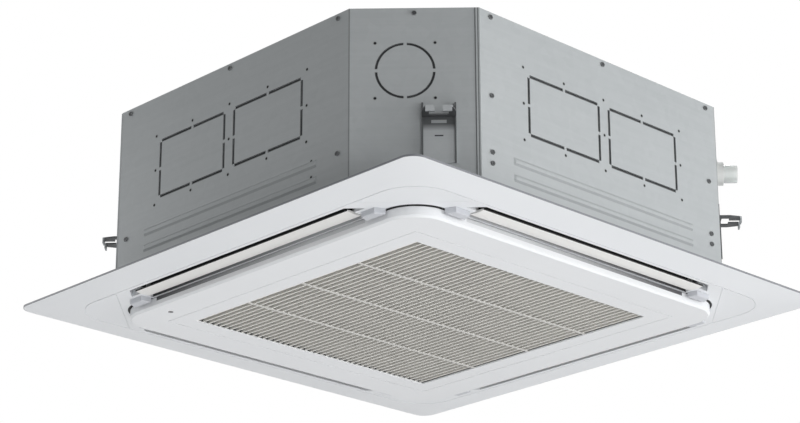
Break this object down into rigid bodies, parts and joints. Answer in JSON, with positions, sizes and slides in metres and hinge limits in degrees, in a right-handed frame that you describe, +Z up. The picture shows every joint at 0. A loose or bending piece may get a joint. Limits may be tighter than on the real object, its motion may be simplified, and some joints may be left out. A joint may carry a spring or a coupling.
{
  "type": "ceiling cassette air conditioner",
  "caption": "Four-way ceiling cassette air conditioner: galvanised casing with hanger brackets above a square white panel with tilting outlet vanes and a swing-down louvred intake grille.",
  "frame": {"origin": "centre of the ceiling opening, on the ceiling's underside, which is the top of the panel's rim", "axes": "+Z up into the ceiling; -Y towards the picture's left-hand side sheet; +X towards the picture's right-hand side sheet"},
  "size_m": [0.95, 0.95, 0.339],
  "materials": {
    "galvanised_sheet": "spangled zinc",
    "screw_steel": "zinc plated",
    "lining_foam": "dark lining foam",
    "foam": "expanded bead foam",
    "gasket_rubber": "matt",
    "fin_aluminium": "bare fins",
    "copper": "drawn tube",
    "nut_brass": "machined",
    "dark_plastic": "moulded",
    "float_white": "moulded",
    "board_green": "solder mask",
    "motor_paint": "satin",
    "port_white": "moulded",
    "stub_clear": "clear",
    "panel_white": "fine satin moulding",
    "grille_white": "fine satin moulding",
    "vane_white": "fine satin moulding",
    "filter_mesh": "woven mesh in a frame",
    "receiver_lens": "dark lens"
  },
  "bodies": {
    "unit": {"bell_mouth": "dark_plastic", "cable_grommet": "gasket_rubber", "case_liner": "lining_foam", "casing_screws": "screw_steel", "coil_end_plates": "galvanised_sheet", "coil_fins": "fin_aluminium", "coil_tubes": "copper", "control_board": "board_green", "control_box": "galvanised_sheet", "control_cover": "galvanised_sheet", "corner_cover_ne": "panel_white", "corner_cover_nw": "panel_white", "corner_cover_se": "panel_white", "corner_cover_sw": "panel_white", "drain_pan": "foam", "drain_port": "port_white", "drain_pump": "dark_plastic", "drain_stub": "stub_clear", "fan_motor": "motor_paint", "flare_nuts": "nut_brass", "float_switch": "dark_plastic", "hanger_bracket_ne": "galvanised_sheet", "hanger_bracket_nw": "galvanised_sheet", "hanger_bracket_se": "galvanised_sheet", "hanger_bracket_sw": "galvanised_sheet", "hinge_pins": "screw_steel", "motor_mounts": "gasket_rubber", "panel_frame": "panel_white", "panel_gasket": "gasket_rubber", "panel_screws": "screw_steel", "pipe_plate": "galvanised_sheet", "refrigerant_pipes": "copper", "side_sheet_east": "galvanised_sheet", "side_sheet_north": "galvanised_sheet", "side_sheet_south": "galvanised_sheet", "side_sheet_west": "galvanised_sheet", "terminal_block": "dark_plastic", "top_plate": "galvanised_sheet", "vane_motors": "dark_plastic"},
    "fan_rotor": {"motor_shaft": "screw_steel", "turbo_fan": "dark_plastic", "fan_nut": "screw_steel"},
    "south_vane": {"vane_south": "vane_white"},
    "east_vane": {"vane_east": "vane_white"},
    "north_vane": {"vane_north": "vane_white"},
    "west_vane": {"vane_west": "vane_white"},
    "grille": {"intake_grille": "grille_white", "air_filter": "filter_mesh", "receiver_window": "receiver_lens"},
    "west_catch": {"grille_catch_west": "grille_white"},
    "east_catch": {"grille_catch_east": "grille_white"},
    "pump_float": {"float": "float_white"}
  },
  "joints": [
    {"name": "fan_spin", "type": "hinge", "parent": "unit", "child": "fan_rotor", "pos_m": [0, 0, 0.2], "axis": [0, 0, 1], "continuous": true},
    {"name": "south_vane_tilt", "type": "hinge", "parent": "unit", "child": "south_vane", "pos_m": [0, -0.374, 0.002], "axis": [1, 0, 0], "range_deg": [0, 45]},
    {"name": "east_vane_tilt", "type": "hinge", "parent": "unit", "child": "east_vane", "pos_m": [0.374, 0, 0.002], "axis": [0, 1, 0], "range_deg": [0, 45]},
    {"name": "north_vane_tilt", "type": "hinge", "parent": "unit", "child": "north_vane", "pos_m": [0, 0.374, 0.002], "axis": [-1, 0, 0], "range_deg": [0, 45]},
    {"name": "west_vane_tilt", "type": "hinge", "parent": "unit", "child": "west_vane", "pos_m": [-0.374, 0, 0.002], "axis": [0, -1, 0], "range_deg": [0, 45]},
    {"name": "grille_swing", "type": "hinge", "parent": "unit", "child": "grille", "pos_m": [0, 0.356, -0.016], "axis": [1, 0, 0], "range_deg": [0, 85]},
    {"name": "west_catch_slide", "type": "slide", "parent": "grille", "child": "west_catch", "axis": [0, -1, 0], "range_m": [0, 0.008]},
    {"name": "east_catch_slide", "type": "slide", "parent": "grille", "child": "east_catch", "axis": [0, -1, 0], "range_m": [0, 0.008]},
    {"name": "float_rise", "type": "slide", "parent": "unit", "child": "pump_float", "axis": [0, 0, 1], "range_m": [0, 0.012]}
  ]
}
